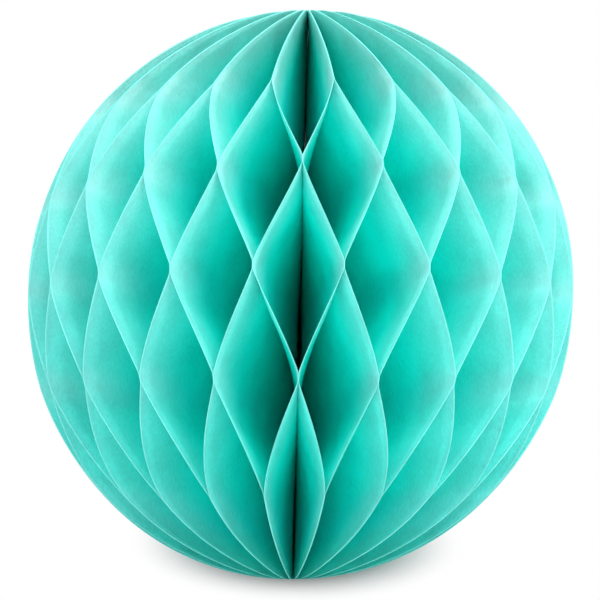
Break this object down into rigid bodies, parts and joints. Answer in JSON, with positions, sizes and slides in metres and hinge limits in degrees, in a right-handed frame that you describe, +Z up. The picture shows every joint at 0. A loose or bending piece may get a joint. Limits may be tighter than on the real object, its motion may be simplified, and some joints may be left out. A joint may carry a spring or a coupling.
{
  "type": "honeycomb paper ball",
  "caption": "Round hanging or table decoration of thin paper leaves, glued in staggered stripes and fanned out about an upright spine into diamond cells.",
  "frame": {"origin": "middle of the ball, on the spine halfway between its two poles", "axes": "+Z runs up the spine to the upper pole, +Y points to the seam where the two card covers meet, and -Y is the front"},
  "size_m": [0.1918, 0.1904, 0.1998],
  "materials": {
    "paper": "matte turquoise tissue, lightly translucent",
    "card": "matte turquoise card"
  },
  "bodies": {
    "root": {"leaf_01": "paper", "leaf_02": "paper", "leaf_03": "paper", "leaf_04": "paper", "leaf_05": "paper", "leaf_06": "paper", "leaf_07": "paper", "leaf_08": "paper", "leaf_09": "paper", "leaf_10": "paper", "leaf_11": "paper", "leaf_12": "paper", "leaf_13": "paper", "leaf_14": "paper", "leaf_15": "paper", "leaf_16": "paper", "leaf_17": "paper", "leaf_18": "paper", "leaf_19": "paper", "leaf_20": "paper", "leaf_21": "paper", "leaf_22": "paper", "leaf_23": "paper", "leaf_24": "paper", "leaf_25": "paper", "leaf_26": "paper", "leaf_27": "paper", "leaf_28": "paper", "leaf_29": "paper", "leaf_30": "paper", "leaf_31": "paper", "leaf_32": "paper", "leaf_33": "paper", "leaf_34": "paper", "leaf_35": "paper", "leaf_36": "paper", "leaf_37": "paper", "leaf_38": "paper", "leaf_39": "paper", "leaf_40": "paper", "leaf_41": "paper", "leaf_42": "paper", "leaf_43": "paper", "leaf_44": "paper", "cover_left": "card", "cover_right": "card"}
  },
  "joints": []
}
